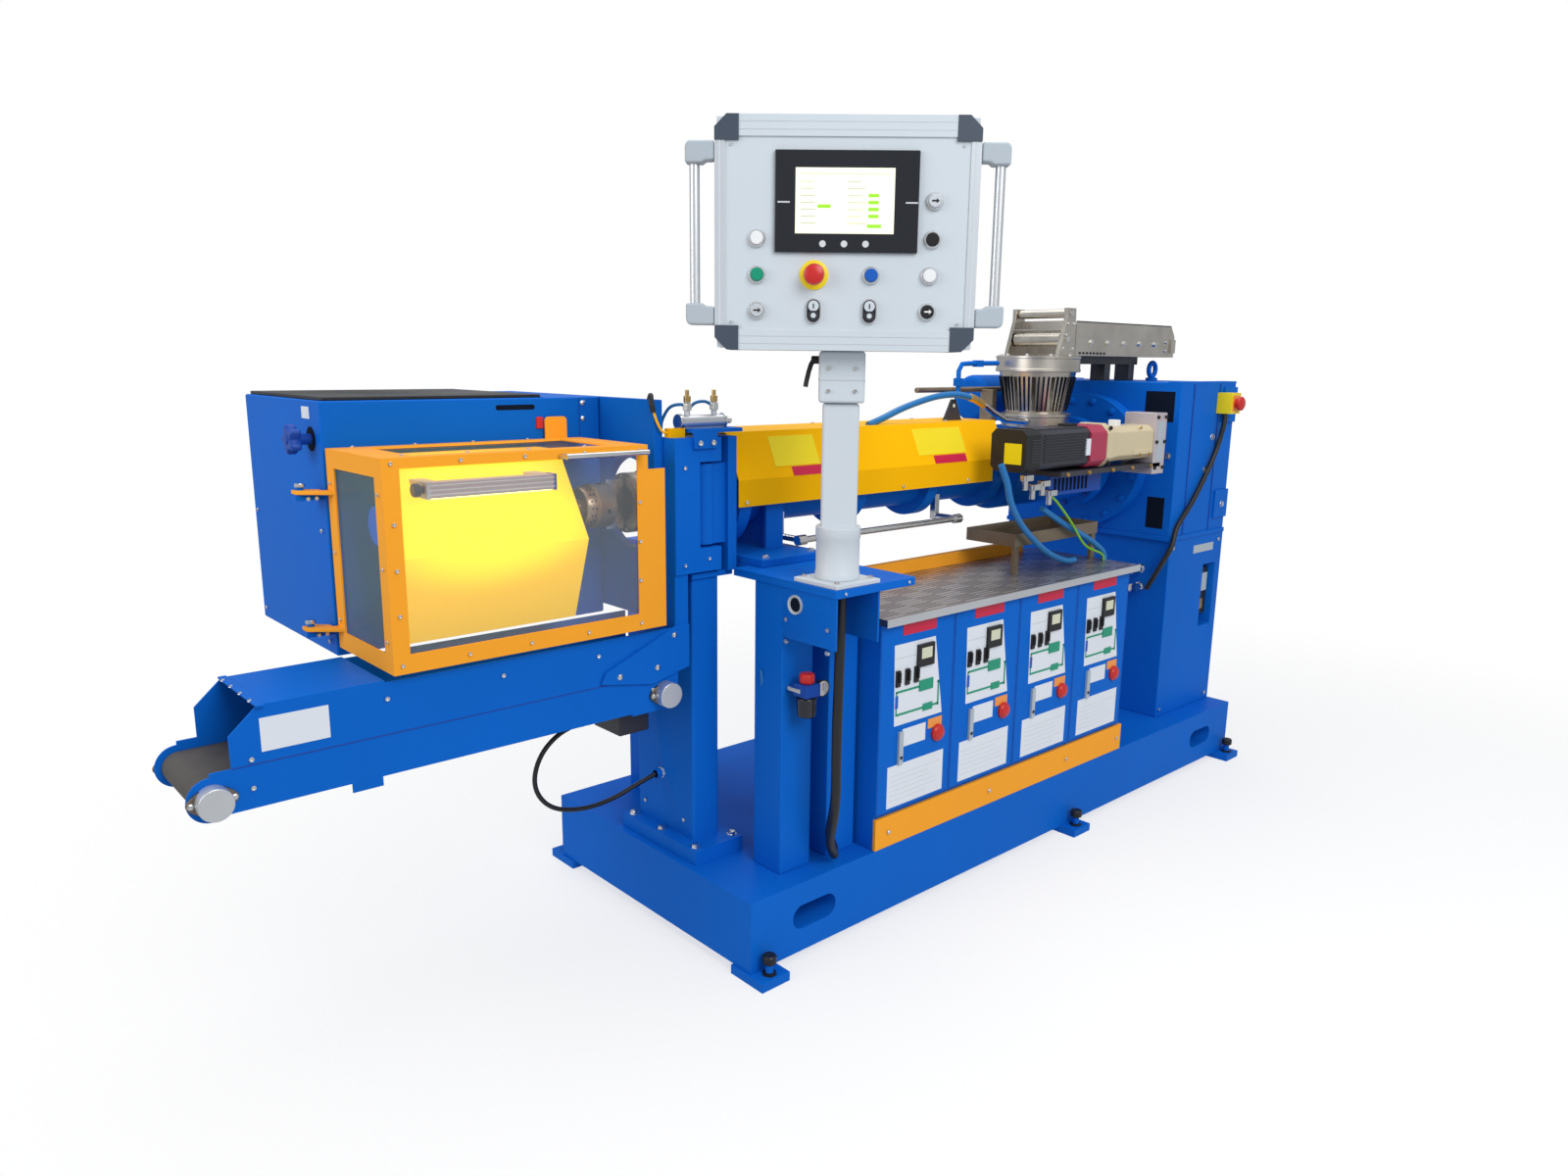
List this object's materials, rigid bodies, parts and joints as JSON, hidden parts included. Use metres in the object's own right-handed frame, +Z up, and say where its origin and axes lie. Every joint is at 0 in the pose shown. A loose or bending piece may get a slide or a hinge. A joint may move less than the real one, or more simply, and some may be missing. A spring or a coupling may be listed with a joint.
{
  "type": "rubber extruder",
  "caption": "Blue rubber extruder on a skid with roller feed, swinging die-face cutter, take-away conveyor and an operator panel on a post.",
  "frame": {"origin": "on the floor under the middle of the front middle foot", "axes": "+X along the barrel from the cutter to the gearbox, +Y away from the operator, +Z up"},
  "size_m": [3.621, 1.4233, 2.004],
  "materials": {
    "blue_paint": "gloss",
    "yellow_paint": "gloss",
    "steel": "brushed",
    "checker_plate": "tread pattern",
    "black_plastic": "matt",
    "cream_paint": "satin",
    "pale_paint": "satin",
    "clear_plastic": "clear",
    "belt_rubber": "matt",
    "aluminium": "satin",
    "brass": "satin",
    "red_plastic": "gloss",
    "button_plastic": "gloss"
  },
  "bodies": {
    "machine": {"air_regulator": "blue_paint", "barrel": "blue_paint", "barrel_hood": "yellow_paint", "cabinets": "blue_paint", "chute_support": "black_plastic", "cutter_column": "blue_paint", "deck_plate": "checker_plate", "deck_rail": "yellow_paint", "die_ring": "steel", "drain_valve": "brass", "drip_pan": "steel", "estop_box": "red_plastic", "feed_block": "blue_paint", "feed_chute": "steel", "feed_neck": "steel", "feed_ring": "steel", "gearbox_case": "blue_paint", "gearbox_plinth": "blue_paint", "head_support": "blue_paint", "hinge_fixed": "blue_paint", "kick_strip": "yellow_paint", "levelling_feet": "blue_paint", "panel_post": "pale_paint", "rear_drive": "blue_paint", "roller_box": "steel", "servo_bracket": "black_plastic", "servo_gearhead": "cream_paint", "servo_motor": "black_plastic", "skid_frame": "blue_paint", "stand": "blue_paint", "stand_posts": "blue_paint", "tie_rods": "steel", "water_pipes": "steel"},
    "cutter_head": {"hinge_leaf": "blue_paint", "head_plate": "blue_paint", "cutter_housing": "blue_paint", "housing_cover": "black_plastic", "cutter_spindle": "blue_paint", "deflector": "yellow_paint", "door_hinge_lugs": "blue_paint", "lamp_bar": "aluminium", "star_knob": "blue_paint", "lock_bracket": "blue_paint", "lock_cylinder": "aluminium", "conveyor_frame": "blue_paint", "conveyor_belt": "belt_rubber", "conveyor_rollers": "aluminium", "conveyor_motor": "black_plastic", "conveyor_cable": "belt_rubber"},
    "guard_door": {"guard_frame": "yellow_paint", "guard_windows": "clear_plastic", "guard_handle": "steel"},
    "control_panel": {"panel_neck": "pale_paint", "panel_case": "pale_paint", "panel_handles": "pale_paint", "panel_screen": "black_plastic", "panel_buttons": "button_plastic"},
    "cutter_rotor": {"cutter_rotor": "steel"},
    "top_roller": {"top_roller": "steel"},
    "guide_roller": {"guide_roller": "steel"}
  },
  "joints": [
    {"name": "cutter_head_hinge", "type": "hinge", "parent": "machine", "child": "cutter_head", "pos_m": [-1.268, 0.307, 1.14], "axis": [0, 0, 1], "range_deg": [0, 80]},
    {"name": "guard_door_hinge", "type": "hinge", "parent": "cutter_head", "child": "guard_door", "pos_m": [-2.146, 0.582, 1.06], "axis": [0, 0, -1], "range_deg": [0, 110]},
    {"name": "panel_swivel", "type": "hinge", "parent": "machine", "child": "control_panel", "pos_m": [-1.143, -0.049, 1.46], "axis": [0, 0, 1], "range_deg": [-60, 60]},
    {"name": "rotor_spin", "type": "hinge", "parent": "cutter_head", "child": "cutter_rotor", "pos_m": [-1.511, 0.432, 1.145], "axis": [1, 0, 0], "continuous": true},
    {"name": "top_roller_spin", "type": "hinge", "parent": "machine", "child": "top_roller", "pos_m": [0.327, 0.432, 1.664], "axis": [0, 1, 0], "continuous": true},
    {"name": "guide_roller_spin", "type": "hinge", "parent": "machine", "child": "guide_roller", "pos_m": [0.309, 0.432, 1.578], "axis": [0, 1, 0], "continuous": true}
  ]
}
